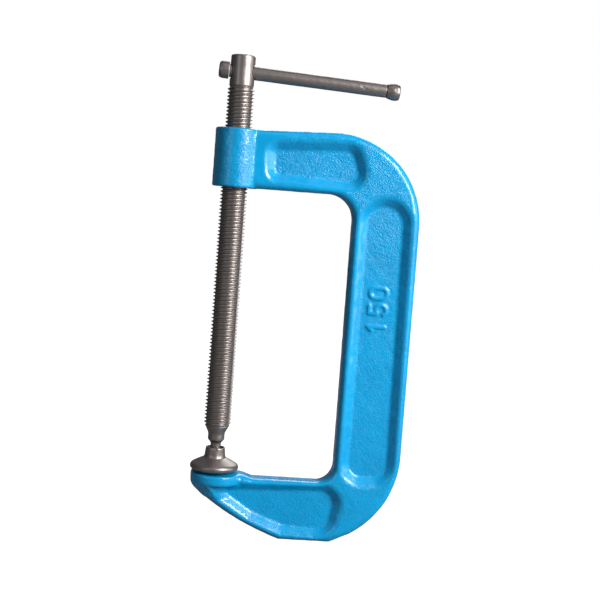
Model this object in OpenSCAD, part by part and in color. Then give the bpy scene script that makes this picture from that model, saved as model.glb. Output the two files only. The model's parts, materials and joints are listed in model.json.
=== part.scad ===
// C clamp with a cast frame, a two-start screw, a swivel pad and a sliding tommy bar.
// Millimetres. The origin is the centre of the anvil face, on the screw's axis.
// +Z runs up the screw, +X from the screw towards the spine, +Y through the frame's thickness.

/* [Frame] */
// Distance from the screw's axis to the inner face of the spine
throat_depth = 76.6; // [75:0.2:78]
// Height of the opening, from the anvil face to the underside of the upper arm
opening_h = 182.6; // [176:0.2:190]
// Width of the spine
spine_w = 42.9; // [42:0.1:45]
// Thickness of the frame's rims
flange_t = 19; // [17:0.5:21]
// Thickness of the web between the recesses
web_t = 9; // [7:0.5:11]
// Height of the upper arm where it meets the boss
arm_h = 37.4; // [36.4:0.2:38]
// Radius of the upper outer corner
upper_corner_r = 56.5; // [52:0.5:58]
// Radius of the lower outer corner
lower_corner_r = 60; // [58:0.5:61]
// Depth of the frame below the anvil face
jaw_drop = 40.7; // [40.1:0.2:42]
// Radius of the threaded boss
boss_r = 14.3; // [13.5:0.1:15]
// Radius of the round anvil
anvil_r = 16.5; // [16:0.1:17]

/* [Screw] */
// Outer radius of the thread
thread_r = 8.6; // [8.4:0.05:8.7]
// Depth of the thread
thread_depth = 1.3; // [1.2:0.05:1.4]
// Distance between neighbouring ridges
thread_pitch = 2.309; // [2.2:0.001:2.4]
// Radius of the plain head
head_r = 7.8; // [7.6:0.1:8]
// Height of the head's top face
head_top = 266; // [262:1:270]
// Height of the tommy bar's hole
cross_hole_z = 255.5; // [253:0.5:257]
// Radius of the tommy bar's hole
cross_hole_r = 4.95; // [4.9:0.05:5.1]
// Radius of the journal below the thread
journal_r = 5.3; // [5:0.1:5.6]
// Radius of the neck that enters the pad
neck_r = 3.35; // [3.1:0.05:3.5]

/* [Swivel pad] */
// Gap between the pad's face and the anvil when the clamp is closed
pad_gap = 1.1; // [1.05:0.05:1.3]
// Largest radius of the pad
pad_r = 15.6; // [15.2:0.1:16]
// Height of the top of the pad's collar
collar_top = 15.7; // [15.4:0.1:16]
// Radius of the ball on the screw's end
ball_r = 4.6; // [4.5:0.05:4.6]
// Height of the ball's centre, about which the pad tilts
ball_z = 8.2; // [8.1:0.1:8.3]

/* [Tommy bar] */
// Radius of the bar
bar_r = 4.3; // [4.1:0.05:4.35]
// Length over both end knobs
bar_length = 116; // [105:0.5:125]
// Largest radius of the end knobs
knob_r = 5.5; // [5.2:0.1:6]
// Length of the plain knob
left_knob_l = 6.5; // [6.4:0.1:8]
// Length of the flared knob
right_knob_l = 8.8; // [8:0.1:10]
// Droop of the loose bar in its hole, in degrees
bar_droop = 2.9; // [0:0.1:3]

/* [Hidden] */
$fn = 64;
eps = 0.01;
cast_colour = "#0096D7";
steel_colour = "#5A504E";
dark_steel_colour = "#4A4341";

// Frame: outline
spine_x = throat_depth + spine_w;
arm_top = opening_h + arm_h;
arm_dip = 0.6;               // the upper arm's top edge starts this far below the boss's top face
arm_rise = 2.2;              // and ends this far above it, at the corner
inner_upper_r = 16;
inner_lower_r = 11.5;
jaw_step = 2.2;              // the anvil stands this far above the jaw's rim
tip_x = -15;                 // front of the jaw
tip_z = -7;                  // foot of the anvil's upright front
keel_x0 = 44;                // flat at the bottom, from here
keel_x1 = 77.2;              // to here
keel_bend = [7.8, -28.2];    // control point of the jaw's curved underside
lower_corner_z = 17;
lower_corner_a = -60;        // where the lower corner's arc starts
anvil_x = tip_x + anvil_r;
anvil_h = 6.5;               // height of the anvil's upright edge, above the taper to the jaw
anvil_taper = 8;
bore_r = thread_r + 0.2;
outline_steps = 16;

// Frame: recesses, each a list of [x, z, radius] corners on its floor
recess_slope = 4.5;          // how far the walls spread from the floor to the rim
arm_recess = [[27.8, 196.2, 3], [27.2, 205.2, 3], [69.5, 205, 5.5], [71.7, 197.4, 6]];
spine_recess = [[94.6, 11.7, 8.6], [101.8, 11.7, 8.6], [97.4, 166.1, 11.4]];
jaw_recess = [[10.5, -12, 1.5], [29, -18.5, 6], [48, -20.8, 10.6], [66.5, -23.6, 9.2], [69.4, -16, 8]];

// Screw
starts = 2;
lead = starts * thread_pitch;
thread_bottom = 29.5;
thread_top = 247;
core_r = thread_r - thread_depth;
thread_turns = (thread_top - thread_bottom) / lead - 1;
thread_sides = 16;
thread_steps = round(thread_turns * thread_sides);
thread_rows = 2 * starts;    // crest and root rows across one lead
end_r = 5.4;                 // the thread sinks to this radius inside the solid ends
end_core_r = core_r + 0.15;
end_core_top = 36;
groove_z = 10;
groove_h = 1.6;
groove_r = 3.9;
button_top = 11.3;           // the ball's button ends here
neck_bottom = 12.4;
neck_top = 18.7;
journal_bottom = 20.7;
journal_top = 25;
head_bottom = 246;
head_bevel = 0.8;

// Swivel pad
seat_clear = 0.3;
pad_bore_r = 5.1;
undercut_r = 5.8;
undercut_h = 2.2;
collar_r = 6.6;
collar_lip_r = 6.3;
mouth_r = 5.45;
mouth_h = 1.5;               // depth of the collar's wider mouth
cone_top = 8.9;              // the pad's cone meets the collar's foot here
foot_top = 9.7;
collar_bottom = 10.8;

// Retaining ring
ring_wire_r = 0.5;
ring_r = 4.85;
ring_gap = 2;

// Tommy bar
spigot_r = 3;
spigot_l = 5;
knob_clear = 0.7;            // the left knob's face stands this far off the head's nearest line
knob_round_r = 1.6;
left_knob_face_r = knob_r - 0.8;
left_knob_shoulder = 1;
right_knob_face_r = bar_r + 0.3;
right_knob_flare = 2.2;

// Points of an arc about a centre, from angle a0 to angle a1
function arc(c, r, a0, a1, n = outline_steps) =
    [for (i = [0:n]) let (a = a0 + (a1 - a0) * i / n) [c[0] + r * cos(a), c[1] + r * sin(a)]];

// Points of a curve from p to q that bends towards b
function bend(p, b, q, n = outline_steps) =
    [for (i = [0:n]) let (t = i / n) (1 - t) * (1 - t) * p + 2 * t * (1 - t) * b + t * t * q];

function underside() = bend([tip_x, tip_z], keel_bend, [keel_x0, -jaw_drop]);

// Side view of the C, in the XZ plane
module side_outline() {
    upper = [spine_x - upper_corner_r, arm_top + arm_rise - upper_corner_r];
    lower = [spine_x - lower_corner_r, lower_corner_z];
    inner_upper = [throat_depth - inner_upper_r, opening_h - inner_upper_r];
    inner_lower = [throat_depth - inner_lower_r, inner_lower_r - jaw_step];
    polygon(concat(
        underside(),
        [[keel_x1, -jaw_drop]],
        arc(lower, lower_corner_r, lower_corner_a, 0),
        arc(upper, upper_corner_r, 0, 90),
        [[0, arm_top - arm_dip], [0, opening_h]],
        arc(inner_upper, inner_upper_r, 90, 0),
        arc(inner_lower, inner_lower_r, 0, -90),
        [[tip_x, -jaw_step]]
    ));
}

// Side view of the jaw's tip, up to the anvil face
module tip_outline() {
    polygon(concat(underside(), [[keel_x0, 0], [tip_x, 0]]));
}

// Extrudes a side view through the frame's thickness
module across(t) {
    rotate([90, 0, 0]) linear_extrude(t, center = true) children();
}

// A recess with sloping walls, cut into the face at -Y
module recess(corners) {
    depth = (flange_t - web_t) / 2;
    hull() for (c = corners) {
        translate([c[0], -web_t / 2, c[1]]) rotate([90, 0, 0]) cylinder(h = eps, r = c[2], $fn = 32);
        translate([c[0], -web_t / 2 - depth, c[1]]) rotate([90, 0, 0])
            cylinder(h = 1, r = c[2] + recess_slope, $fn = 32);
    }
}

// Keeps what lies inside the anvil's radius or beyond its centre, so that the tip is round from above
module round_tip() {
    intersection() {
        children();
        union() {
            translate([anvil_x, 0, -jaw_drop - 1]) cylinder(h = jaw_drop + 1, r = anvil_r);
            translate([anvil_x, -flange_t, -jaw_drop - 1]) cube([spine_x, 2 * flange_t, 2 * arm_top]);
        }
    }
}

module anvil() {
    intersection() {
        translate([anvil_x, 0, 0]) rotate_extrude() polygon([
            [0, 0], [anvil_r, 0], [anvil_r, -anvil_h],
            [flange_t / 2, -anvil_h - anvil_taper], [0, -anvil_h - anvil_taper]
        ]);
        across(3 * anvil_r) tip_outline();
    }
}

module frame_blank() {
    round_tip() across(flange_t) side_outline();
    anvil();
    translate([0, 0, opening_h]) cylinder(h = arm_h, r = boss_r);
}

module frame() {
    color(cast_colour) difference() {
        frame_blank();
        translate([0, 0, opening_h - 1]) cylinder(h = arm_h + 2, r = bore_r);
        for (side = [0, 1]) mirror([0, side, 0]) {
            recess(arm_recess);
            recess(spine_recess);
            recess(jaw_recess);
        }
    }
}

// The thread is a strip one lead wide, wound up the screw; row 0 of a turn closes the turn below.
// It sinks to end_r over its last turn at each end, inside the screw's solid ends.
function thread_fade(s) = max(0, min(1, (s - thread_sides / 2) / thread_sides,
    (thread_steps + thread_sides / 2 - s) / thread_sides));
function thread_radius(s, row) =
    end_r + ((row % 2 == 0 ? thread_r : core_r) - end_r) * thread_fade(s);
function thread_point(s, row) =
    let (a = 360 * s / thread_sides, r = thread_radius(s, row))
    [r * cos(a), r * sin(a), thread_bottom + lead * s / thread_sides + row * thread_pitch / 2];
function thread_index(s, row) =
    row == thread_rows ? thread_index(s + thread_sides, 0)
    : s > thread_steps ? (thread_steps + 1) * thread_rows + s - thread_steps - 1
    : s * thread_rows + row;

module thread() {
    top = thread_steps;
    last = (top + 1) * thread_rows + thread_sides;
    points = concat(
        [for (s = [0:top], row = [0:thread_rows - 1]) thread_point(s, row)],
        [for (s = [top + 1:top + thread_sides]) thread_point(s, 0)],
        [[0, 0, thread_bottom + lead / 2], [0, 0, thread_bottom + lead * (top / thread_sides + 0.5)]]
    );
    sides = [for (s = [0:top - 1], row = [0:thread_rows - 1]) each [
        [thread_index(s, row), thread_index(s, row + 1), thread_index(s + 1, row + 1)],
        [thread_index(s, row), thread_index(s + 1, row + 1), thread_index(s + 1, row)]]];
    bottom_cap = concat(
        [for (s = [0:thread_sides - 1]) [last, thread_index(s, 0), thread_index(s + 1, 0)]],
        [for (row = [0:thread_rows - 1]) [last, thread_index(0, row + 1), thread_index(0, row)]]);
    top_cap = concat(
        [for (s = [top:top + thread_sides - 1]) [last + 1, thread_index(s + 1, 0), thread_index(s, 0)]],
        [for (row = [0:thread_rows - 1]) [last + 1, thread_index(top, row), thread_index(top, row + 1)]]);
    polyhedron(points, concat(sides, bottom_cap, top_cap), convexity = 10);
}

// Ball, ring groove, neck, journal and the run-out of the thread
module screw_end() {
    rotate_extrude() polygon(concat(
        arc([0, ball_z], ball_r, -90, 0),
        [
            [ball_r, groove_z - groove_h / 2], [groove_r, groove_z - groove_h / 2],
            [groove_r, groove_z + groove_h / 2], [ball_r, groove_z + groove_h / 2],
            [ball_r, button_top], [neck_r, neck_bottom],
            [neck_r, neck_top], [journal_r, journal_bottom],
            [journal_r, journal_top], [end_core_r, thread_bottom],
            [end_core_r, end_core_top], [0, end_core_top]
        ]
    ));
}

module screw_head() {
    rotate_extrude() polygon([
        [0, head_bottom], [core_r - 0.3, head_bottom], [head_r, head_bottom + head_bevel],
        [head_r, head_top - head_bevel], [head_r - head_bevel, head_top], [0, head_top]
    ]);
}

module screw() {
    color(steel_colour) difference() {
        union() {
            thread();
            screw_end();
            screw_head();
        }
        translate([0, 0, cross_hole_z]) rotate([0, 90, 0])
            cylinder(h = 3 * head_r, r = cross_hole_r, center = true);
    }
}

// Split wire ring, sprung into the screw's groove and the pad's undercut
module retaining_ring() {
    color(dark_steel_colour) difference() {
        translate([0, 0, groove_z]) rotate_extrude() translate([ring_r, 0]) circle(ring_wire_r, $fn = 24);
        translate([0, -ring_gap / 2, groove_z - 1]) cube([2 * ring_r, ring_gap, 2]);
    }
}

module swivel_pad() {
    color(dark_steel_colour) rotate_extrude() polygon(concat(
        [
            [0, pad_gap], [pad_r - 1.8, pad_gap], [pad_r - 0.4, pad_gap + 0.8], [pad_r, pad_gap + 1.7],
            [pad_r - 0.1, pad_gap + 3.1], [pad_r - 0.6, pad_gap + 4.3],
            [collar_r + 1.4, cone_top], [collar_r + 0.3, foot_top], [collar_r, collar_bottom],
            [collar_lip_r, collar_top], [mouth_r, collar_top],
            [mouth_r, collar_top - mouth_h], [pad_bore_r, collar_top - 1.5 * mouth_h],
            [pad_bore_r, groove_z + undercut_h / 2], [undercut_r, groove_z + undercut_h / 2],
            [undercut_r, groove_z - undercut_h / 2], [pad_bore_r, groove_z - undercut_h / 2],
            [pad_bore_r, ball_z]
        ],
        arc([0, ball_z], ball_r + seat_clear, 0, -90)
    ));
}

// Places a piece of the bar: its own X axis runs along the bar from the head's centre
module along_bar() {
    translate([0, 0, cross_hole_z]) rotate([0, bar_droop, 0]) children();
}

left_face = -head_r - knob_clear;            // inner face of the left knob
right_face = left_face - left_knob_l + bar_length - right_knob_l;

module tommy_bar() {
    color(steel_colour) along_bar() {
        translate([left_face, 0, 0]) rotate([0, 90, 0]) cylinder(h = right_face - left_face, r = bar_r);
        translate([left_face - spigot_l, 0, 0]) rotate([0, 90, 0])
            cylinder(h = right_face - left_face + 2 * spigot_l, r = spigot_r);
    }
}

// A knob's outline from its inner face at x = 0 to its end at x = length, with a blind hole
module knob(length, face_r, shoulder) {
    rotate([0, 90, 0]) rotate_extrude() polygon(concat(
        [[spigot_r, 0], [face_r, 0], [knob_r, shoulder]],
        arc([knob_r - knob_round_r, length - knob_round_r], knob_round_r, 0, 80, 6),
        [[0, length], [0, spigot_l], [spigot_r, spigot_l]]
    ));
}

module bar_knob_left() {
    color(steel_colour) along_bar() translate([left_face, 0, 0]) mirror([1, 0, 0])
        knob(left_knob_l, left_knob_face_r, left_knob_shoulder);
}

module bar_knob_right() {
    color(steel_colour) along_bar() translate([right_face, 0, 0])
        knob(right_knob_l, right_knob_face_r, right_knob_flare);
}

frame();
screw();
retaining_ring();
swivel_pad();
tommy_bar();
bar_knob_left();
bar_knob_right();
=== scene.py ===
"""A C clamp: the looks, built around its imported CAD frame.

Shapes are worked out in millimetres and made in metres. +Z runs up the screw, +X from the screw
towards the spine, and the origin is the centre of the anvil face.
"""

import json
import math

import bpy
import numpy as np
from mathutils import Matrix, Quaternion, Vector


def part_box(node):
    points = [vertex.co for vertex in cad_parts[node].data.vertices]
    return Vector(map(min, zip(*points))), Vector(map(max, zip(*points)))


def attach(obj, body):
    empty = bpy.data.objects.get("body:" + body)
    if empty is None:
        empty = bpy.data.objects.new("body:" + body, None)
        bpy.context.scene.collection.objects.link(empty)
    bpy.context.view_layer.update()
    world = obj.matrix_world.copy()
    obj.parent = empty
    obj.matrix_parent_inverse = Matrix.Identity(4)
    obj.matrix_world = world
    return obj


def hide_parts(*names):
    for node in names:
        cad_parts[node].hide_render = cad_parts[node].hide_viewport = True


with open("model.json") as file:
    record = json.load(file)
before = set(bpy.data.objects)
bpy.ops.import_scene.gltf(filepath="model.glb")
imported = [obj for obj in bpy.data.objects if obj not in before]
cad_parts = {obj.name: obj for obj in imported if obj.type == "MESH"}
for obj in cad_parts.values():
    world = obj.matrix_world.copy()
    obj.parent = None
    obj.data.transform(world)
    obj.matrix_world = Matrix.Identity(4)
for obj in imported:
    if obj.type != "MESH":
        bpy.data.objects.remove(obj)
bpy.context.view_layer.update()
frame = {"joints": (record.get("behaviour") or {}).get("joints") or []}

MM = 0.001


def box_mm(node):
    """Lowest and highest corner of a CAD node, in millimetres."""
    lo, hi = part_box(node)
    return np.array(lo) / MM, np.array(hi) / MM


def joint(name):
    """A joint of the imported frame, by name."""
    return next(j for j in frame["joints"] if j["name"] == name)


# Frame: driving dimensions, in millimetres
FRAME_LO, FRAME_HI = box_mm("frame")
SPINE_X = FRAME_HI[0]
TIP_X = FRAME_LO[0]
KEEL_Z = FRAME_LO[2]
CORNER_TOP = FRAME_HI[2]
ANVIL_R = FRAME_HI[1]
ANVIL_X = TIP_X + ANVIL_R
THROAT = 76.6
OPENING = 182.6
BOSS_TOP = 220.0
BOSS_R = 14.3
BORE_R = 8.8
FLANGE_T = 19.0
WEB_T = 9.0
UPPER_CORNER_R = 56.5
LOWER_CORNER_R = 60.0
LOWER_CORNER_Z = 17.0
LOWER_CORNER_START = -60
INNER_UPPER_R = 16.0
INNER_LOWER_R = 11.5
JAW_STEP = 2.2
TIP_Z = -7.0
KEEL_X = (44.0, 77.2)
KEEL_BEND = (7.8, -28.2)
ARM_DIP = 0.6
RAMP_X = (19.0, 25.0)         # where the anvil slopes down to the jaw's rim
ANVIL_H = 6.5
ANVIL_TAPER = 8.0
RIM_R = 5.0                   # rounding from the side faces to the rims
RIDGE_R = 1.3                 # rounding from the rims into the recesses
FLOOR_R = 0.5                 # fillet around a recess's floor
WALL_W = 5.9                  # width of a recess's sloping wall
BOSS_FILLET = 0.9
ANVIL_FILLET = 2.2
EDGE_GAP = 0.3                # under the anvil the jaw stops this far below the face, which the disc makes
GRID_STEP = 0.8               # size of the grid that the casting's surface is found on

# Size mark: plain raised numerals, in millimetres
MARK_H = 0.85
MARK_STROKE = 2.1
DIGIT_H = 11.0
DIGIT_W = 6.6
DIGIT_GAP = 4.2
MARK_RIGHT = 102.4            # the digits' feet
MARK_START = 97.0             # where the first digit begins, up the spine

# Recess floors, each a list of (x, z, radius) corners
ARM_RECESS = ((27.8, 196.2, 3), (27.2, 205.2, 3), (69.5, 205, 5.5), (71.7, 197.4, 6))
SPINE_RECESS = ((94.6, 11.7, 8.6), (101.8, 11.7, 8.6), (97.4, 166.1, 11.4))
JAW_RECESS = ((10.5, -12, 1.5), (29, -18.5, 6), (48, -20.8, 10.6), (66.5, -23.6, 9.2), (69.4, -16, 8))

# Screw, in millimetres
THREAD_R = 8.6
THREAD_DEPTH = 1.3
CORE_R = THREAD_R - THREAD_DEPTH
STARTS = 2
LEAD = 4.618
PITCH = LEAD / STARTS
THREAD_BOTTOM = 29.5
THREAD_TOP = 246.6
HEAD_R = 7.8
HEAD_TOP = box_mm("screw")[1][2]
HOLE_R = 4.95
BALL_R = 4.6
BALL_Z = 8.2
GROOVE_Z = 10.0
GROOVE_R = 3.9
GROOVE_HALF_H = 0.8
BUTTON_TOP = 11.3
NECK_R = 3.35
NECK_Z = (12.4, 18.7)
JOURNAL_R = 5.3
JOURNAL_Z = (20.7, 25.0)
CENTRE = 0.01                 # radius at which a turned profile closes on its axis

# Tommy bar, in millimetres
BAR_R = 4.3
BAR_LEFT = -8.5               # inner faces of the knobs, along the bar from the head's centre
BAR_RIGHT = 92.2
KNOB_R = 5.5
BAR_CENTRE = sum(box_mm("tommy_bar")) / 2
BAR_AXIS = Vector(joint("bar_slide")["axis"]).normalized()
HOLE_Z = BAR_CENTRE[2] - (BAR_LEFT + BAR_RIGHT) / 2 * BAR_AXIS.z


# ---------------------------------------------------------------- outlines

def arc(centre, radius, start, end, steps=40):
    """Points of an arc about centre, from angle start to angle end, in degrees."""
    angles = np.radians(np.linspace(start, end, steps + 1))
    return [(centre[0] + radius * math.cos(a), centre[1] + radius * math.sin(a)) for a in angles]


def bend(start, control, end, steps=40):
    """Points of a curve from start to end that bends towards control."""
    t = np.linspace(0, 1, steps + 1)[:, None]
    points = (1 - t) ** 2 * np.array(start) + 2 * t * (1 - t) * np.array(control) + t**2 * np.array(end)
    return [tuple(p) for p in points]


def underside():
    return bend((TIP_X, TIP_Z), KEEL_BEND, (KEEL_X[0], KEEL_Z))


def side_outline():
    """Side view of the C, in X and Z."""
    lower = (SPINE_X - LOWER_CORNER_R, LOWER_CORNER_Z)
    upper = (SPINE_X - UPPER_CORNER_R, CORNER_TOP - UPPER_CORNER_R)
    inner_upper = (THROAT - INNER_UPPER_R, OPENING - INNER_UPPER_R)
    inner_lower = (THROAT - INNER_LOWER_R, INNER_LOWER_R - JAW_STEP)
    return (
        underside()
        + [(KEEL_X[1], KEEL_Z)]
        + arc(lower, LOWER_CORNER_R, LOWER_CORNER_START, 0)
        + arc(upper, UPPER_CORNER_R, 0, 90)
        + [(0, BOSS_TOP - ARM_DIP), (0, OPENING)]
        + arc(inner_upper, INNER_UPPER_R, 90, 0)
        + arc(inner_lower, INNER_LOWER_R, 0, -90)
        + [(RAMP_X[1], -JAW_STEP), (RAMP_X[0], -EDGE_GAP), (TIP_X, -EDGE_GAP)]
    )


def tip_outline():
    """Side view of the jaw's tip, up to the anvil face."""
    return underside() + [(KEEL_X[0], 0), (TIP_X, 0)]


def hull_of(circles, steps=180):
    """Outline around a set of circles, found in each direction from the circle that reaches furthest."""
    points = []
    for a in np.linspace(0, 2 * math.pi, steps, endpoint=False):
        way = (math.cos(a), math.sin(a))
        x, z, r = max(circles, key=lambda c: c[0] * way[0] + c[1] * way[1] + c[2])
        points.append((x + r * way[0], z + r * way[1]))
    return points


# ---------------------------------------------------------------- signed distances

def outline_distance(outline, x, z):
    """Distance from points to a closed outline, negative inside."""
    nearest = np.inf
    inside = False
    previous = outline[-1]
    for point in outline:
        ex, ez = point[0] - previous[0], point[1] - previous[1]
        length = ex * ex + ez * ez
        if length > 1e-9:
            wx, wz = x - previous[0], z - previous[1]
            t = np.clip((wx * ex + wz * ez) / length, 0, 1)
            nearest = np.minimum(nearest, (wx - ex * t) ** 2 + (wz - ez * t) ** 2)
            spans = (previous[1] > z) != (point[1] > z)
            left = wx * ez < wz * ex
            inside = inside ^ (spans & (left == (ez > 0)))
        previous = point
    return np.where(inside, -1, 1) * np.sqrt(nearest)


def stroke_distance(strokes, x, z):
    """Distance from points to the nearest of some open lines."""
    nearest = np.inf
    for line in strokes:
        for a, b in zip(line, line[1:]):
            ex, ez = b[0] - a[0], b[1] - a[1]
            t = np.clip(((x - a[0]) * ex + (z - a[1]) * ez) / (ex * ex + ez * ez), 0, 1)
            nearest = np.minimum(nearest, np.hypot(x - a[0] - ex * t, z - a[1] - ez * t))
    return nearest


def both(a, b, radius):
    """What lies inside both a and b, with the edge between them rounded."""
    rest = np.minimum(-radius, np.maximum(a, b))
    return rest + np.hypot(np.maximum(a + radius, 0), np.maximum(b + radius, 0))


def either(a, b, radius):
    """What lies inside a or b, with a fillet between them."""
    return -both(-a, -b, radius)


# ---------------------------------------------------------------- frame

def size_mark():
    """The size in millimetres, as plain numerals that read up the spine: (x, z) lines."""
    radius = DIGIT_W / 2
    one = [(1.2, DIGIT_H - 2.4), (radius, DIGIT_H), (radius, 0)]
    belly = arc((radius, radius), radius, 125, -150, 20)
    five = [(DIGIT_W - 0.6, DIGIT_H), (1.2, DIGIT_H), (0.8, belly[0][1] + 0.2)] + belly
    zero_top = arc((radius, DIGIT_H - radius), radius, 0, 180, 16)
    zero = zero_top + arc((radius, radius), radius, 180, 360, 16) + zero_top[:1]
    return [on_spine(n, digit) for n, digit in enumerate((one, five, zero))]


def on_spine(digit, points):
    """Points of a digit, given as (across, up), where they lie on the spine."""
    start = MARK_START + digit * (DIGIT_W + DIGIT_GAP)
    return [(MARK_RIGHT - up, start + across) for across, up in points]


OUTLINES = {"side": side_outline(), "tip": tip_outline()}
RECESSES = [hull_of(c) for c in (ARM_RECESS, SPINE_RECESS, JAW_RECESS)]
SIZE_MARK = size_mark()


def recess_distance(outline, x, y, z):
    """The space that a recess takes: its floor is the web and its walls slope out to the rims."""
    rise = np.abs(y) - WEB_T / 2
    slope = (FLANGE_T - WEB_T) / 2 / WALL_W
    wall = (outline_distance(outline, x, z) * slope - rise) / math.hypot(1, slope)
    return both(-rise, wall, FLOOR_R)


def anvil_distance(x, y, z):
    """A disc with an upright edge, tapered below to the jaw's thickness."""
    side_round, top_round, tip_round = 1.2, 0.8, 1.6
    rho = np.hypot(x - ANVIL_X, y)
    fall = (ANVIL_R - FLANGE_T / 2) / ANVIL_TAPER
    taper = (rho - ANVIL_R - (z + ANVIL_H) * fall) / math.hypot(1, fall)
    disc = both(both(rho - ANVIL_R, taper, side_round), z, top_round)
    foot = -ANVIL_H - ANVIL_TAPER - z
    return np.maximum(both(disc, outline_distance(OUTLINES["tip"], x, z), tip_round), foot)


def boss_distance(x, y, z):
    """An upright cylinder with rounded rims."""
    edge = 1.2
    return both(np.hypot(x, y) - BOSS_R, np.maximum(z - BOSS_TOP, OPENING - z), edge)


def bore_distance(x, y, z):
    """The screw's bore through the boss, with a chamfer at each end."""
    chamfer = 0.7
    overrun = 2
    rho = np.hypot(x, y)
    past_end = np.maximum(z - BOSS_TOP, OPENING - z)
    cone = (rho - BORE_R - past_end - chamfer) * math.sqrt(0.5)
    return np.maximum(np.minimum(rho - BORE_R, cone), past_end - overrun)


def mark_distance(x, y, z):
    """The raised numerals, rooted in the web."""
    edge = 0.3
    line = stroke_distance(SIZE_MARK, x, z) - MARK_STROKE / 2
    return np.maximum(both(line, -y - WEB_T / 2 - MARK_H, edge), y + WEB_T / 4)


def casting_distance(x, y, z):
    """The whole casting."""
    under_gap, under_round, bore_round = 0.6, 0.8, 0.3
    side = outline_distance(OUTLINES["side"], x, z)
    plate = both(side, np.abs(y) - FLANGE_T / 2, RIM_R)
    tip = np.hypot(np.minimum(x - ANVIL_X, 0), y) - ANVIL_R
    plate = both(plate, tip, RIM_R / 2)
    spaces = [recess_distance(r, x, y, z) for r in RECESSES]
    for space in spaces:
        plate = both(plate, -space, RIDGE_R)
    under_anvil = np.maximum(spaces[2], z + ANVIL_H + under_gap)
    anvil = both(anvil_distance(x, y, z), -under_anvil, under_round)
    solid = either(plate, anvil, ANVIL_FILLET)
    solid = either(solid, boss_distance(x, y, z), BOSS_FILLET)
    solid = np.minimum(solid, mark_distance(x, y, z))
    return both(solid, -bore_distance(x, y, z), bore_round)


def surface_nets(distance, lo, hi, step):
    """Vertices and quads of the surface where distance is zero: one vertex in each grid cell it crosses."""
    counts = [int(math.ceil((b - a) / step)) + 3 for a, b in zip(lo, hi)]
    axes = [a - step + step * np.arange(n) for a, n in zip(lo, counts)]
    field = distance(axes[0][:, None, None], axes[1][None, :, None], axes[2][None, None, :])
    solid = field < 0
    corners = [(i, j, k) for i in (0, 1) for j in (0, 1) for k in (0, 1)]
    cells = tuple(n - 1 for n in counts)
    shifted = [solid[i:i + cells[0], j:j + cells[1], k:k + cells[2]] for i, j, k in corners]
    total = sum(block.astype(np.int8) for block in shifted)
    crossed = np.argwhere((total > 0) & (total < 8))
    number = np.full(cells, -1)
    number[tuple(crossed.T)] = np.arange(len(crossed))
    sums = np.zeros((len(crossed), 3))
    hits = np.zeros(len(crossed))
    for a in corners:
        for axis in range(3):
            if a[axis]:
                continue
            b = tuple(1 if n == axis else v for n, v in enumerate(a))
            fa = field[tuple((crossed + a).T)]
            fb = field[tuple((crossed + b).T)]
            cut = (fa < 0) != (fb < 0)
            t = np.where(cut, fa / np.where(cut, fa - fb, 1), 0)
            point = np.array(a) + t[:, None] * (np.array(b) - np.array(a))
            sums += np.where(cut[:, None], point, 0)
            hits += cut
    points = np.array([axis[0] for axis in axes]) + (crossed + sums / hits[:, None]) * step
    return points, np.concatenate([net_quads(solid, number, axis) for axis in range(3)])


def net_quads(solid, number, axis):
    """One quad around each grid edge along axis that the surface crosses."""
    turned = np.moveaxis(solid, axis, 0)
    ids = np.moveaxis(number, axis, 0)
    if axis == 1:
        turned = turned.swapaxes(1, 2)
        ids = ids.swapaxes(1, 2)
    cut = turned[:-1, 1:-1, 1:-1] != turned[1:, 1:-1, 1:-1]
    i, j, k = np.nonzero(cut)
    quads = np.stack([ids[i, j, k], ids[i, j + 1, k], ids[i, j + 1, k + 1], ids[i, j, k + 1]], axis=1)
    outward = turned[i, j + 1, k + 1]
    quads[~outward] = quads[~outward][:, ::-1]
    return quads


def slope_of(distance, points, delta=0.02):
    """Unit normals of a distance field at some points."""
    parts = []
    for axis in range(3):
        shift = np.eye(3)[axis] * delta
        parts.append(distance(*(points + shift).T) - distance(*(points - shift).T))
    slope = np.stack(parts, axis=1)
    return slope / np.maximum(np.linalg.norm(slope, axis=1, keepdims=True), 1e-9)


def ripple(points, wavelength, seed, waves=28):
    """A smooth random field of about -1 to 1 with bumps of about that wavelength."""
    rng = np.random.default_rng(seed)
    ways = rng.normal(size=(waves, 3))
    ways /= np.linalg.norm(ways, axis=1, keepdims=True)
    turns = 2 * math.pi / (wavelength * rng.uniform(0.7, 1.5, waves))
    phases = rng.uniform(0, 2 * math.pi, waves)
    total = sum(np.sin(points @ w * t + p) for w, t, p in zip(ways, turns, phases))
    return total / math.sqrt(waves)


def ramp(value, start, end):
    """0 before start, 1 after end, smooth between."""
    t = np.clip((value - start) / (end - start), 0, 1)
    return t * t * (3 - 2 * t)


def grain_of(points):
    """How coarse the casting's skin is, which also sets how much painted shade its pebbles' low spots get:
    strong on recess floors and the outer corners, weak on the rims.
    """
    x, y, z = points.T
    depth = outline_distance(OUTLINES["side"], x, z)
    out = np.abs(y)
    off_boss = ramp(x, 24, 30)
    off_anvil = ramp(z, 0, -6)
    inside = ramp(depth, -3, -6)
    coarse = 0.75 + 0.35 * ramp(z, 110, 190)
    floor = inside * ramp(out, WEB_T / 2 + 0.9, WEB_T / 2 + 0.1) * coarse
    face = ramp(out, FLANGE_T / 2 - 0.5, FLANGE_T / 2 - 0.05) * off_boss
    corner = face * inside * coarse
    boss = 0.7 * ramp(np.hypot(x, y), 14.9, 14.4) * ramp(z, OPENING - 1, OPENING + 1)
    past_arms = np.maximum(np.maximum(z - OPENING, -JAW_STEP - z), 0)
    to_opening = np.hypot(np.maximum(x - THROAT, 0), past_arms)
    outer = ramp(to_opening, 5, 9) * ramp(out, WEB_T / 2 + 0.5, WEB_T / 2 + 3)
    outer = outer * np.maximum(off_boss, off_anvil)
    rim = 0.55 * outer * ramp(out, 0, FLANGE_T / 2 - RIM_R)
    everywhere = np.full_like(x, 0.12)
    return np.maximum.reduce([floor, corner, boss, rim, everywhere])


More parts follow.
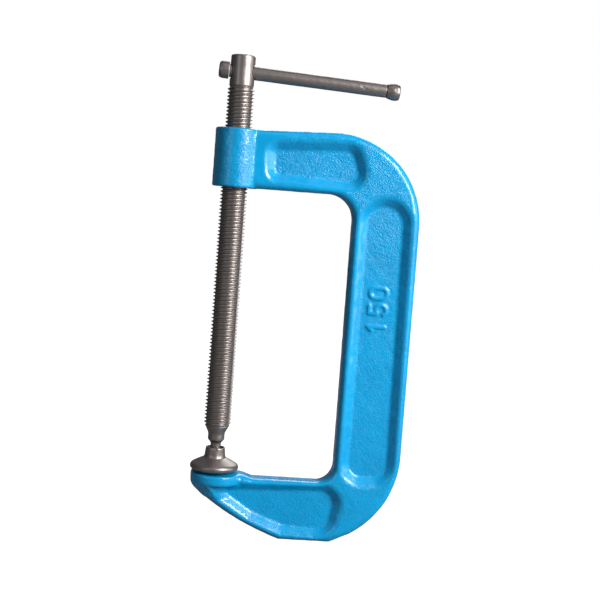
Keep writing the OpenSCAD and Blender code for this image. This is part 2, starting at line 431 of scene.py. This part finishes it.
def make_frame():
    """The casting: its surface drawn onto the exact shape, then pressed in a little, as sand leaves it."""
    press = 0.12
    points, quads = surface_nets(casting_distance, FRAME_LO, FRAME_HI, GRID_STEP)
    for _ in range(2):
        normals = slope_of(casting_distance, points)
        points = points - normals * casting_distance(*points.T)[:, None]
    grain = grain_of(points)
    cast = 0.05 * ripple(points, 7.0, 5) + 0.035 * grain * ripple(points, 2.4, 9)
    points = points + normals * (np.minimum(cast, press) - press)[:, None]
    piece = mesh_piece("cast_frame", points, quads.tolist(), {"grain": grain})
    return place(piece, "frame", "frame_enamel", enamel(), "frame")


# ---------------------------------------------------------------- meshes

def mesh_piece(name, points, faces, attributes=None):
    """A smooth-shaded mesh object from points in millimetres, with its point attributes."""
    mesh = bpy.data.meshes.new(name)
    mesh.from_pydata((np.asarray(points) * MM).tolist(), [], faces)
    for key, values in (attributes or {}).items():
        layer = mesh.attributes.new(key, "FLOAT", "POINT")
        layer.data.foreach_set("value", np.asarray(values, np.float32))
    mesh.shade_smooth()
    mesh.validate()
    piece = bpy.data.objects.new(name, mesh)
    bpy.context.scene.collection.objects.link(piece)
    return piece


def place(piece, body, slot, material, *nodes):
    """Puts a piece's material on, rides it on its body and lets it stand for its CAD nodes."""
    piece.data.materials.clear()
    piece.data.materials.append(material)
    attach(piece, body)
    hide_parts(*nodes)
    return piece


def skin(grid):
    """Points and faces of a closed skin over rings of points, with a fan over each end ring's middle."""
    rings, sides, _ = grid.shape
    points = np.concatenate([grid.reshape(-1, 3), [grid[0].mean(axis=0), grid[-1].mean(axis=0)]])
    first, last = rings * sides, rings * sides + 1
    faces = []
    for r in range(rings - 1):
        for s in range(sides):
            t = (s + 1) % sides
            faces.append((r * sides + s, r * sides + t, (r + 1) * sides + t, (r + 1) * sides + s))
    for s in range(sides):
        t = (s + 1) % sides
        faces.append((first, t, s))
        faces.append((last, (rings - 1) * sides + s, (rings - 1) * sides + t))
    return points, faces


def rounded(profile, steps=5):
    """A profile's (radius, height, rounding) corners as points, each corner turned into a short curve."""
    points = []
    for n, (r, z, rounding) in enumerate(profile):
        here = np.array((r, z), float)
        if rounding == 0 or n in (0, len(profile) - 1):
            points.append(here)
            continue
        before = np.array(profile[n - 1][:2], float) - here
        after = np.array(profile[n + 1][:2], float) - here
        reach_before = min(rounding, 0.48 * np.linalg.norm(before))
        reach_after = min(rounding, 0.48 * np.linalg.norm(after))
        start = here + before / np.linalg.norm(before) * reach_before
        end = here + after / np.linalg.norm(after) * reach_after
        points += [np.array(p) for p in bend(start, here, end, steps)]
    return np.array(points)


def subdivided(profile, longest):
    """A profile with no step longer than longest."""
    points = [profile[0]]
    for a, b in zip(profile, profile[1:]):
        count = max(1, math.ceil(np.linalg.norm(b - a) / longest))
        points += [a + (b - a) * (i + 1) / count for i in range(count)]
    return np.array(points)


def turned(profile, sides=96):
    """Rings of points for a profile of (radius, height) turned about Z."""
    angles = np.linspace(0, 2 * math.pi, sides, endpoint=False)
    r, z = profile[:, :1], profile[:, 1:]
    return np.stack([r * np.cos(angles), r * np.sin(angles), np.broadcast_to(z, (len(r), sides))], axis=2)


def roughened(points, amount, wavelength, seed):
    """Presses low bumps into points turned about Z, up to about amount deep."""
    radius = np.maximum(np.hypot(points[:, 0], points[:, 1]), 1.0)
    bumps = np.clip(ripple(points, wavelength, seed), -1, 1) - 1
    points[:, :2] *= (1 + amount * bumps / radius)[:, None]


def along_bar(points):
    """Turns points about the bar's own axis, given as +Z, into the row frame."""
    turn = Vector((0, 0, 1)).rotation_difference(BAR_AXIS)
    matrix = np.array(turn.to_matrix())
    return points @ matrix.T + np.array((0, 0, HOLE_Z))


# ---------------------------------------------------------------- screw

def thread_height(phase):
    """Height of the thread, from 0 at the root to 1 at the crest, where phase 0 is a crest."""
    wave = np.abs(2 * (phase % 1) - 1)
    return ramp(wave, 0.30, 0.96)


def make_screw():
    """Spindle: rings stacked up the axis, pushed out where the thread's ridges pass."""
    sides = 64
    step = PITCH / 11
    end = rounded([
        (CENTRE, BALL_Z - BALL_R, 0), (BALL_R * 0.5, BALL_Z - BALL_R * 0.866, 1), (BALL_R, BALL_Z - 1, 1.5),
        (BALL_R, GROOVE_Z - GROOVE_HALF_H, 0.1), (GROOVE_R, GROOVE_Z - GROOVE_HALF_H, 0.1),
        (GROOVE_R, GROOVE_Z + GROOVE_HALF_H, 0.1), (BALL_R, GROOVE_Z + GROOVE_HALF_H, 0.15),
        (BALL_R, BUTTON_TOP, 0.5), (NECK_R, NECK_Z[0], 0.8), (NECK_R, NECK_Z[1], 0.9),
        (JOURNAL_R, JOURNAL_Z[0], 0.7), (JOURNAL_R, JOURNAL_Z[1], 1.2),
        (CORE_R, THREAD_BOTTOM - 0.6, 0.6), (CORE_R, THREAD_BOTTOM, 0),
    ])
    end = subdivided(end, 0.6)
    thread_z = np.arange(THREAD_BOTTOM + step, THREAD_TOP + 3, step)
    profile = np.concatenate([end, np.stack([np.full_like(thread_z, CORE_R), thread_z], axis=1)])
    grid = turned(profile, sides)
    angles = np.linspace(0, 2 * math.pi, sides, endpoint=False)
    z = profile[:, 1:]
    phase = (z - THREAD_BOTTOM) / PITCH - STARTS * angles / (2 * math.pi)
    bottom = ramp(z, THREAD_BOTTOM - 0.8, THREAD_BOTTOM + 1.4)
    top = ramp(z, THREAD_TOP, THREAD_TOP - 1.6)
    height = thread_height(phase) * bottom * top
    factor = 1 + height * THREAD_DEPTH / profile[:, :1]
    grid[:, :, :2] *= factor[:, :, None]
    points, faces = skin(grid)
    roughened(points, 0.02, 3.0, 21)
    # The thread's height is also its colour: worn bright crests, and painted shade that darkens the roots.
    wear_and_shade = np.concatenate([height.ravel(), (0, 0)])
    shank = mesh_piece("screw", points, faces, {"wear_and_shade": wear_and_shade})
    join(shank, [make_head()])
    return place(shank, "screw", "screw_steel", steel("screw_steel", 1.0, 0.30), "screw")


def make_head():
    """The spindle's plain head, with its cross hole."""
    bottom = THREAD_TOP - 0.6
    profile = rounded([
        (CENTRE, bottom, 0), (CORE_R + 0.1, bottom, 0.1), (HEAD_R, bottom + 0.7, 0.5),
        (HEAD_R, HEAD_TOP, 1.5), (HEAD_R * 0.55, HEAD_TOP - 0.05, 0.5), (CENTRE, HEAD_TOP - 0.15, 0),
    ])
    points, faces = skin(turned(subdivided(profile, 0.9), 96))
    roughened(points, 0.04, 6.0, 31)
    head = mesh_piece("screw_head", points, faces, {"wear_and_shade": np.full(len(points), 0.30)})
    cutter = hole_cutter()
    cut = head.modifiers.new("cross_hole", "BOOLEAN")
    cut.object = cutter
    cut.solver = "EXACT"
    apply_modifiers(head)
    bpy.data.objects.remove(cutter)
    return head


def hole_cutter():
    """A rod along X that widens towards the head's sides, to cut the cross hole."""
    lead_in = 2.4
    wide_r = HOLE_R + 0.1 * lead_in
    reach = HEAD_R + 1
    profile = rounded([
        (CENTRE, -reach, 0), (wide_r, -reach, 0), (HOLE_R, -HEAD_R + lead_in, 1.2),
        (HOLE_R, HEAD_R - lead_in, 1.2), (wide_r, reach, 0), (CENTRE, reach, 0),
    ])
    points, faces = skin(turned(subdivided(profile, 1.2), 64))
    points = points[:, [2, 1, 0]] * np.array((1, 1, -1)) + np.array((0, 0, HOLE_Z))
    return mesh_piece("hole_cutter", points, faces)


def apply_modifiers(piece):
    """Replaces a piece's mesh by what its modifiers make of it."""
    shown = piece.evaluated_get(bpy.context.evaluated_depsgraph_get())
    mesh = bpy.data.meshes.new_from_object(shown)
    piece.modifiers.clear()
    piece.data = mesh


def join(piece, others):
    """Merges other meshes into a piece that is the same physical part."""
    with bpy.context.temp_override(active_object=piece, selected_editable_objects=[piece] + others):
        bpy.ops.object.join()


# ---------------------------------------------------------------- ring and pad

def make_ring():
    """Split wire ring in the screw's groove."""
    ring_r = 4.85
    wire_r = 0.5
    half_gap = math.asin(1.0 / ring_r)
    around = np.linspace(0, 2 * math.pi, 20, endpoint=False)
    r = ring_r + wire_r * np.cos(around)
    z = GROOVE_Z - wire_r * np.sin(around)
    rings = []
    for a in np.linspace(half_gap, 2 * math.pi - half_gap, 72):
        rings.append(np.stack([r * math.cos(a), r * math.sin(a), z], axis=1))
    points, faces = skin(np.array(rings))
    piece = mesh_piece("retaining_ring", points, faces, {"wear_and_shade": np.full(len(points), 0.5)})
    return place(piece, "ring_carrier", "ring_steel", steel("ring_steel", 0.9), "retaining_ring")


def make_pad():
    """Swivel pad: a dished foot with a rolled rim, and a collar crimped over the screw's ball."""
    low, high = box_mm("swivel_pad")
    base, collar_top = low[2], high[2]
    pad_r = high[0]
    profile = [
        (CENTRE, base + 0.5, 0), (pad_r - 6.5, base + 0.5, 0.6), (pad_r - 5.6, base, 0.5),
        (pad_r - 1.8, base, 0.7), (pad_r - 0.4, base + 0.8, 0.7), (pad_r, base + 1.8, 0.8),
        (pad_r - 0.1, base + 3.1, 0.6), (pad_r - 0.9, base + 4.2, 0.9), (10.6, 7.5, 2), (8.0, 8.8, 0.9),
        (7.2, 9.1, 0.25), (6.9, 9.7, 0.5), (6.6, 10.8, 0.6), (6.35, collar_top - 0.5, 0.6),
        (6.1, collar_top, 0.3), (5.65, collar_top, 0.25), (5.45, collar_top - 0.4, 0.3),
        (5.45, 14.2, 0.3), (5.1, 13.5, 0.3), (5.1, 11.1, 0.1), (5.8, 11.1, 0.15), (5.8, 8.9, 0.15),
        (5.1, 8.9, 0.1), (5.1, 8.2, 0.3), (4.2, 5.7, 1.2), (2.4, 3.9, 1.2), (CENTRE, 3.3, 0),
    ]
    points, faces = skin(turned(subdivided(rounded(profile), 0.7), 112))
    crimped(points, collar_top)
    outside = np.hypot(points[:, 0], points[:, 1])
    rim = ramp(outside, pad_r - 1.5, pad_r - 0.2) * ramp(points[:, 2], base + 4.6, base + 2.6)
    roughened(points, 0.035, 3.5, 41)
    piece = mesh_piece("swivel_pad", points, faces, {"wear_and_shade": 0.20 + 0.5 * rim})
    return place(piece, "pad", "pad_steel", steel("pad_steel", 0.75, 0.50), "swivel_pad")


def crimped(points, collar_top):
    """Presses four shallow flats into the collar's lip, where it was closed over the ball."""
    angle = np.arctan2(points[:, 1], points[:, 0])
    lip = ramp(points[:, 2], collar_top - 3.0, collar_top - 0.4)
    outer = ramp(np.hypot(points[:, 0], points[:, 1]), 5.5, 5.9)
    press = 0.045 * np.clip(np.cos(4 * angle), 0, 1) ** 4 * lip * outer
    points[:, :2] *= (1 - press)[:, None]


# ---------------------------------------------------------------- tommy bar

def bar_piece(name, profile, dents):
    """A piece turned about the bar's axis, with small dents pressed into it."""
    points, faces = skin(turned(subdivided(rounded(profile), 0.8), 72))
    for angle, height, depth, width in dents:
        dent(points, angle, height, depth, width)
    roughened(points, 0.03, 5.0, 51)
    wear_and_shade = np.full(len(points), 0.55)
    piece = mesh_piece(name, along_bar(points), faces, {"wear_and_shade": wear_and_shade})
    return place(piece, "bar", "bar_steel", steel("bar_steel", 0.8, 0.54), name)


def dent(points, angle, height, depth, width):
    """Presses a round dent of that depth and width into points turned about Z."""
    r = np.hypot(points[:, 0], points[:, 1])
    a = math.radians(angle)
    spot = np.array((math.cos(a) * r.max(), math.sin(a) * r.max(), height))
    near = np.exp(-np.sum((points - spot) ** 2, axis=1) / (width * width))
    points[:, :2] *= (1 - near * depth / np.maximum(r, 0.5))[:, None]


def make_bar():
    """Plain bar, with a few dents from use. Each dent is (angle, place along the bar, depth, width)."""
    left, right = BAR_LEFT + 0.2, BAR_RIGHT - 0.2
    profile = [(CENTRE, left, 0), (BAR_R, left, 0.2), (BAR_R, right, 0.2), (CENTRE, right, 0)]
    dents = [(-80, 78.5, 0.30, 0.9), (-95, 76.5, 0.22, 0.7), (-60, 60, 0.08, 1.5), (70, 30, 0.1, 1)]
    bar_piece("tommy_bar", profile, dents)


def make_left_knob():
    """Plain knob: a barrel with a domed end."""
    length = 6.5
    end = BAR_LEFT - length
    profile = [
        (CENTRE, end + 0.15, 0), (2.6, end, 1.0), (KNOB_R - 0.7, end + 0.35, 1.1), (KNOB_R, end + 2.2, 1.3),
        (KNOB_R, BAR_LEFT, 0.2), (CENTRE, BAR_LEFT, 0),
    ]
    dents = [(-104, end + 1.8, 0.25, 0.8), (-70, end + 2.6, 0.15, 0.8)]
    bar_piece("bar_knob_left", profile, dents)


def make_right_knob():
    """Flared knob, with a seam where it meets the bar."""
    length = 8.8
    end = BAR_RIGHT + length
    profile = [
        (CENTRE, BAR_RIGHT, 0), (BAR_R - 0.6, BAR_RIGHT, 0.2), (BAR_R - 0.1, BAR_RIGHT + 0.25, 0.15),
        (BAR_R + 0.25, BAR_RIGHT + 0.6, 0.3), (KNOB_R - 0.15, BAR_RIGHT + 3.4, 1.6),
        (KNOB_R, end - 2.6, 1.2), (KNOB_R - 0.5, end - 0.7, 0.8), (KNOB_R - 1.3, end - 0.15, 0.6),
        (2.2, end, 0.8), (CENTRE, end, 0),
    ]
    dents = [(-100, end - 3.0, 0.2, 1.0), (-60, end - 2.2, 0.15, 0.9), (-118, end - 5.0, 0.12, 1.0)]
    bar_piece("bar_knob_right", profile, dents)


# ---------------------------------------------------------------- materials

class Nodes:
    """Adds and links the nodes of one material."""

    def __init__(self, name):
        self.material = bpy.data.materials.new(name)
        self.material.use_nodes = True
        self.tree = self.material.node_tree
        self.shader = self.tree.nodes["Principled BSDF"]
        self.place = self.add("ShaderNodeTexCoord").outputs["Object"]

    def add(self, kind, **settings):
        node = self.tree.nodes.new(kind)
        for key, value in settings.items():
            setattr(node, key, value)
        return node

    def put(self, socket, value):
        """Sets a socket to a number or colour, or links an output to it."""
        if isinstance(value, bpy.types.NodeSocket):
            self.tree.links.new(value, socket)
        else:
            socket.default_value = value

    def noise(self, size_mm, detail=2.0, roughness=0.5):
        """Noise whose features are about size_mm across."""
        node = self.add("ShaderNodeTexNoise")
        self.put(node.inputs["Vector"], self.place)
        node.inputs["Scale"].default_value = 1 / (size_mm * MM)
        node.inputs["Detail"].default_value = detail
        node.inputs["Roughness"].default_value = roughness
        return node.outputs["Fac"]

    def cells(self, size_mm):
        """Distance to the nearest of scattered points about size_mm apart."""
        node = self.add("ShaderNodeTexVoronoi", feature="SMOOTH_F1")
        self.put(node.inputs["Vector"], self.place)
        node.inputs["Scale"].default_value = 1 / (size_mm * MM)
        node.inputs["Smoothness"].default_value = 0.6
        return node.outputs["Distance"]

    def attribute(self, name):
        return self.add("ShaderNodeAttribute", attribute_name=name).outputs["Fac"]

    def math(self, operation, a, b):
        node = self.add("ShaderNodeMath", operation=operation)
        self.put(node.inputs[0], a)
        self.put(node.inputs[1], b)
        return node.outputs[0]

    def map(self, value, low, high, to_low, to_high):
        """Carries value from one range to another, held at its ends."""
        node = self.add("ShaderNodeMapRange")
        for n, v in enumerate((value, low, high, to_low, to_high)):
            self.put(node.inputs[n], v)
        return node.outputs[0]

    def mix(self, share, a, b, blend="MIX"):
        node = self.add("ShaderNodeMix", data_type="RGBA", blend_type=blend)
        for n, v in ((0, share), (6, a), (7, b)):
            self.put(node.inputs[n], v)
        return node.outputs[2]

    def bump(self, height, distance_mm, strength=1.0, normal=None):
        node = self.add("ShaderNodeBump")
        self.put(node.inputs["Strength"], strength)
        self.put(node.inputs["Distance"], distance_mm * MM)
        self.put(node.inputs["Height"], height)
        if normal is not None:
            self.put(node.inputs["Normal"], normal)
        return node.outputs[0]


def enamel():
    """Gloss blue enamel over a rough casting: pebbled on the faces, smooth on the rims, with painted shade
    in the pebbles' low spots.
    """
    n = Nodes("blue_enamel")
    grain = n.attribute("grain")
    pebble = n.noise(0.95, 3.0, 0.55)
    broad = n.noise(22.0, 3.0)
    patch = n.noise(5.0, 2.0)
    colour = n.mix(n.map(broad, 0.35, 0.65, 0, 1), (0.000, 0.290, 0.590, 1), (0.000, 0.335, 0.670, 1))
    colour = n.mix(n.map(patch, 0.35, 0.7, 0, 0.35), colour, (0.000, 0.260, 0.545, 1))
    # Painted shade: the colour goes darker in the low spots of the pebble pattern, more so where the grain
    # is coarse.
    painted_pebble_shade = n.math("MULTIPLY", n.map(pebble, 0.5, 0.3, 0, 0.5), grain)
    colour = n.mix(painted_pebble_shade, colour, (0.000, 0.170, 0.400, 1))
    n.put(n.shader.inputs["Base Color"], colour)
    n.put(n.shader.inputs["Roughness"], n.map(patch, 0.3, 0.7, 0.20, 0.30))
    fine = n.bump(n.noise(2.6, 1.0), 0.10, 0.5)
    strength = n.map(grain, 0, 1, 0.1, 1.0)
    n.put(n.shader.inputs["Normal"], n.bump(pebble, 0.48, strength, fine))
    n.shader.inputs["Coat Weight"].default_value = 0.35
    n.shader.inputs["Coat Roughness"].default_value = 0.07
    n.shader.inputs["Specular IOR Level"].default_value = 0.4
    return n.material


def steel(name, shine, rough=0.36):
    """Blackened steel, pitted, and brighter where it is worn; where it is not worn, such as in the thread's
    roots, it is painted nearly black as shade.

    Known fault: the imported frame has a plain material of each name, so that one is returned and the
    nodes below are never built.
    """
    if name in bpy.data.materials:
        return bpy.data.materials[name]
    n = Nodes(name)
    wear_and_shade = n.attribute("wear_and_shade")
    cloud = n.noise(6.0, 4.0, 0.6)
    speck = n.noise(0.7, 3.0, 0.65)
    # Painted shade: the nearly black colour stands in for the shade in the thread's roots and other unworn
    # places.
    dark = n.mix(n.map(cloud, 0.35, 0.65, 0, 1), (0.014, 0.010, 0.010, 1), (0.034, 0.026, 0.024, 1))
    bright = n.mix(n.map(speck, 0.3, 0.7, 0, 1), (0.20, 0.160, 0.152, 1), (0.50, 0.440, 0.425, 1))
    # Low values, such as the thread's roots, take the painted shade colour; high values are real wear on
    # crests and rims.
    share = n.math("MULTIPLY", n.map(wear_and_shade, 0.22, 0.95, 0.0, shine), n.map(speck, 0.3, 0.6, 0.4, 1))
    colour = n.mix(share, dark, bright)
    pits = n.map(n.cells(1.6), 0.10, 0.22, 0.7, 0)
    colour = n.mix(pits, colour, (0.02, 0.015, 0.014, 1))
    n.put(n.shader.inputs["Base Color"], colour)
    n.put(n.shader.inputs["Roughness"], n.map(speck, 0.3, 0.7, rough - 0.06, rough + 0.12))
    n.shader.inputs["Metallic"].default_value = 0.9
    grain = n.bump(speck, 0.09, 0.8)
    n.put(n.shader.inputs["Normal"], n.bump(n.map(n.cells(1.6), 0.08, 0.22, 0, 1), 0.12, 0.7, grain))
    return n.material


def floor_material():
    """Pale floor that meets the white background, and sends only a soft grey light back up."""
    n = Nodes("studio_floor")
    mottle = n.noise(60.0, 3.0)
    colour = n.mix(n.map(mottle, 0.3, 0.7, 0, 1), (0.16, 0.16, 0.16, 1), (0.20, 0.20, 0.20, 1))
    n.put(n.shader.inputs["Base Color"], colour)
    n.shader.inputs["Roughness"].default_value = 0.9
    n.shader.inputs["Specular IOR Level"].default_value = 0.1
    n.shader.inputs["Emission Color"].default_value = (1, 1, 1, 1)
    seen = n.add("ShaderNodeLightPath").outputs["Is Camera Ray"]
    n.put(n.shader.inputs["Emission Strength"], n.math("MULTIPLY", seen, 1.0))
    return n.material


# ---------------------------------------------------------------- studio

def direction(azimuth, elevation):
    """Unit vector towards an azimuth and elevation in radians. Azimuth 0 is the camera's side."""
    flat = math.cos(elevation)
    return Vector((math.sin(azimuth) * flat, -math.cos(azimuth) * flat, math.sin(elevation)))


def make_camera():
    """The photograph's view: nearly square on, tilted so that the clamp leans to the right."""
    azimuth, elevation, roll = (math.radians(a) for a in (-4.02, 3.4, 4.34))
    target = Vector((0.04574, 0, 0.13308))
    away = 0.800
    back = direction(azimuth, elevation)
    camera = bpy.data.objects.new("camera", bpy.data.cameras.new("camera"))
    bpy.context.scene.collection.objects.link(camera)
    camera.data.sensor_width = 36
    camera.data.lens = 75.0
    camera.data.shift_y = -0.05
    camera.data.clip_start = 0.01
    camera.location = target + back * away
    camera.rotation_mode = "QUATERNION"
    camera.rotation_quaternion = Quaternion(back, roll) @ (-back).to_track_quat("-Z", "Y")
    bpy.context.scene.camera = camera


def make_floor():
    """A large square just below the jaw's flat."""
    half = 4.0
    below_keel = 0.0002
    z = KEEL_Z * MM - below_keel
    corners = [(-half, -half, z), (half, -half, z), (half, half, z), (-half, half, z)]
    mesh = bpy.data.meshes.new("floor")
    mesh.from_pydata(corners, [], [(0, 1, 2, 3)])
    mesh.materials.append(floor_material())
    floor = bpy.data.objects.new("floor", mesh)
    bpy.context.scene.collection.objects.link(floor)


def softbox(name, azimuth, elevation, away, size, power, colour=(1, 1, 1)):
    """An area light that faces the middle of the clamp from that direction, in degrees."""
    middle = Vector((0.05, 0, 0.11))
    way = direction(math.radians(azimuth), math.radians(elevation))
    light = bpy.data.lights.new(name, "AREA")
    light.shape = "RECTANGLE"
    light.size, light.size_y = size
    light.energy = power
    light.color = colour
    lamp = bpy.data.objects.new(name, light)
    bpy.context.scene.collection.objects.link(lamp)
    lamp.location = middle + way * away
    lamp.rotation_mode = "QUATERNION"
    lamp.rotation_quaternion = (-way).to_track_quat("-Z", "Y")


def make_world():
    """White behind the object, softer grey for what lights it."""
    world = bpy.data.worlds.new("studio")
    world.use_nodes = True
    tree = world.node_tree
    shown = tree.nodes["Background"]
    shown.inputs["Color"].default_value = (1, 1, 1, 1)
    shown.inputs["Strength"].default_value = 1.0
    fill = tree.nodes.new("ShaderNodeBackground")
    fill.inputs["Color"].default_value = (0.95, 0.97, 1, 1)
    fill.inputs["Strength"].default_value = 0.10
    pick = tree.nodes.new("ShaderNodeMixShader")
    path = tree.nodes.new("ShaderNodeLightPath")
    tree.links.new(path.outputs["Is Camera Ray"], pick.inputs[0])
    tree.links.new(fill.outputs[0], pick.inputs[1])
    tree.links.new(shown.outputs[0], pick.inputs[2])
    tree.links.new(pick.outputs[0], tree.nodes["World Output"].inputs["Surface"])
    bpy.context.scene.world = world
    bpy.context.scene.view_settings.view_transform = "Standard"


def make_lights():
    """Softboxes: name, azimuth, elevation, distance, size, power and colour."""
    softbox("key", 46, 24, 1.1, (0.40, 0.6), 20.5, (1, 0.97, 0.95))
    softbox("side", 80, 2, 1.2, (0.30, 0.5), 1.8, (1, 0.98, 0.96))
    softbox("fill", -40, 15, 1.6, (0.6, 0.9), 2.2, (0.95, 0.97, 1))
    softbox("top", 0, 72, 1.3, (0.8, 0.5), 0.8)
    softbox("back", 165, 35, 1.6, (0.9, 0.9), 9)


make_camera()
make_world()
make_lights()
make_floor()
make_frame()
make_screw()
make_ring()
make_pad()
make_bar()
make_left_knob()
make_right_knob()
